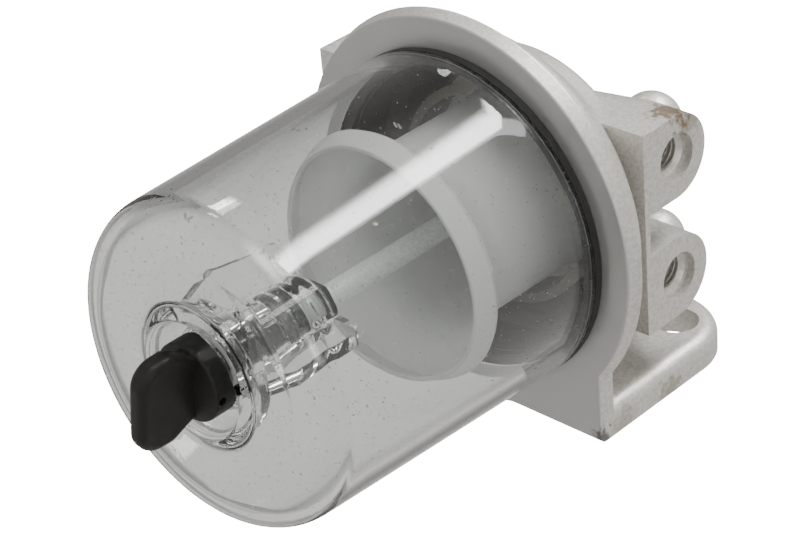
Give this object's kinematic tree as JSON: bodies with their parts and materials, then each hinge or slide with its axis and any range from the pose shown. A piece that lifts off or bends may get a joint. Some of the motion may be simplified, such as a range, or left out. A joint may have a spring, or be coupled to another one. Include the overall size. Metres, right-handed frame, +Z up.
{
  "type": "fuel water separator",
  "caption": "Wall-mounted fuel water separator: die-cast head with side ports and a slotted bracket plate, clear sediment bowl, baffle, tie rod and a winged drain screw.",
  "frame": {"origin": "midway between the two mounting slots, on the mounting face", "axes": "+Z up along the bowl axis, +Y out of the mounting face to the wall, +X towards the two open ports"},
  "size_m": [0.1381, 0.126, 0.1978],
  "materials": {
    "cast_aluminium": "as cast, satin",
    "clear_plastic": "clear, glossy",
    "gasket_rubber": "matt",
    "milky_plastic": "milky, satin",
    "dark_insert": "blackened",
    "zinc_steel": "zinc plated",
    "dark_nut": "dark plated",
    "soft_washer": "plain",
    "black_plastic": "satin black",
    "seal_rubber": "matt"
  },
  "bodies": {
    "separator": {"head_casting": "cast_aluminium", "bowl": "clear_plastic", "bowl_gasket": "gasket_rubber", "baffle": "milky_plastic", "boss_insert": "dark_insert", "tie_rod": "zinc_steel", "rod_lock_nut": "dark_nut", "cap_nut_washer": "soft_washer", "cap_nut": "zinc_steel", "front_plug": "zinc_steel", "front_plug_washer": "soft_washer", "rear_plug": "zinc_steel", "rear_plug_washer": "soft_washer"},
    "drain_seals": {"drain_flange_seal": "seal_rubber", "drain_o_ring": "seal_rubber"},
    "drain_wing": {"drain_screw": "black_plastic"}
  },
  "joints": [
    {"name": "drain_travel", "type": "slide", "parent": "separator", "child": "drain_seals", "axis": [0, 0, -1], "range_m": [0, 0.0045]},
    {"name": "drain_turn", "type": "hinge", "parent": "drain_seals", "child": "drain_wing", "pos_m": [0, -0.061, -0.1545], "axis": [0, 0, -1], "range_deg": [0, 1080]}
  ],
  "couplings": [
    {"joint": "drain_travel", "follows": "drain_turn", "m_per_rad": 0.00023873}
  ]
}
